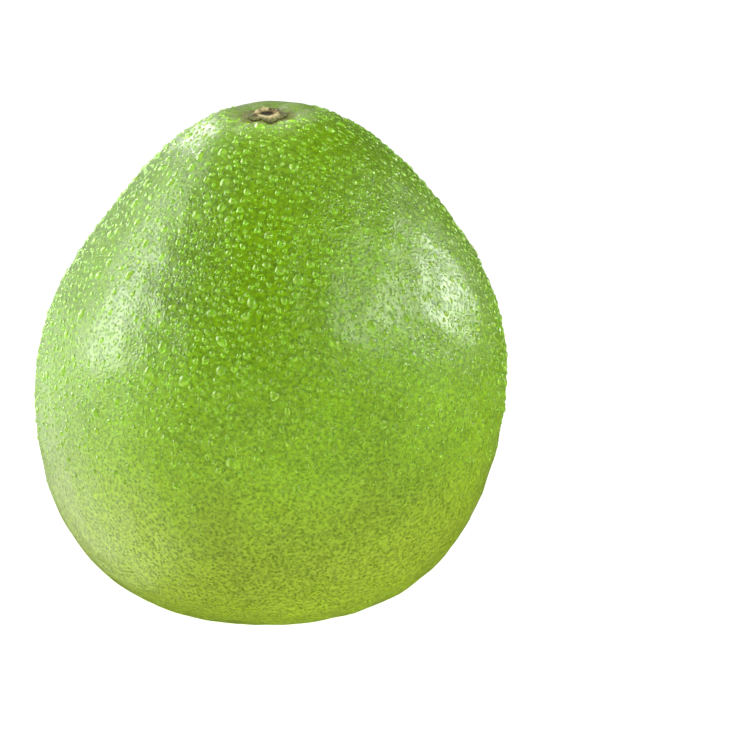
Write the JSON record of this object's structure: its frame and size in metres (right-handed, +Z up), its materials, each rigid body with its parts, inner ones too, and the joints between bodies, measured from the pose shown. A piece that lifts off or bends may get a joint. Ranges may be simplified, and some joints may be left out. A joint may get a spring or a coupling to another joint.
{
  "type": "pomelo",
  "caption": "Whole ripe pomelo: broad, blunt pear-shaped citrus fruit with a dry stem button in the dimple of its crown, standing on a small flat spot.",
  "frame": {"origin": "centre of the flat spot that the fruit stands on", "axes": "+Z up from the flat spot through the stem end; the shoulders lean slightly towards +X and the crown nods towards -Y; -Y is the side that the picture shows"},
  "size_m": [0.1565, 0.1552, 0.1691],
  "materials": {
    "rind": "satin",
    "stem_button": "matte"
  },
  "bodies": {
    "root": {"fruit": "rind", "calyx": "stem_button"}
  },
  "joints": []
}
